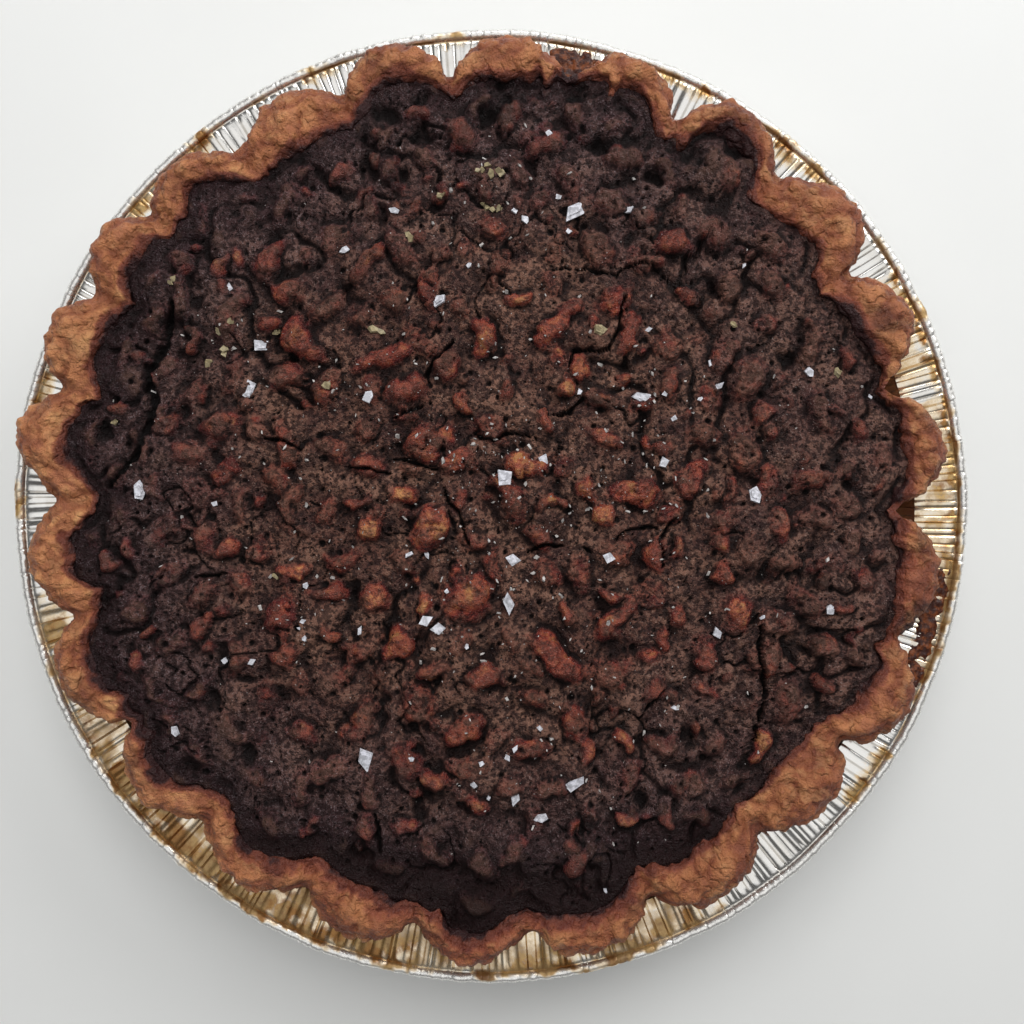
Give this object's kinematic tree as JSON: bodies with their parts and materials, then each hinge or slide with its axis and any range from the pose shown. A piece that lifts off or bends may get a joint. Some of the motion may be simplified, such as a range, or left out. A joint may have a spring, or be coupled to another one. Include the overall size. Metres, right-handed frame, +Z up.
{
  "type": "honey walnut pie",
  "caption": "Whole round honey walnut pie with a dark nutty filling, a scalloped golden pastry edge and flaky salt, in its own crimped foil tin.",
  "frame": {"origin": "middle of the foil tin's flat bottom", "axes": "+Z up, out of the pie's top"},
  "size_m": [0.2442, 0.2442, 0.0513],
  "materials": {
    "foil": "bright, with baked-on caramel",
    "pastry": "browned, slightly blistered",
    "filling": "dark and foamy, glossy where syrup shows"
  },
  "bodies": {
    "root": {"foil_tin": "foil", "pastry_crust": "pastry", "walnut_filling": "filling"}
  },
  "joints": []
}
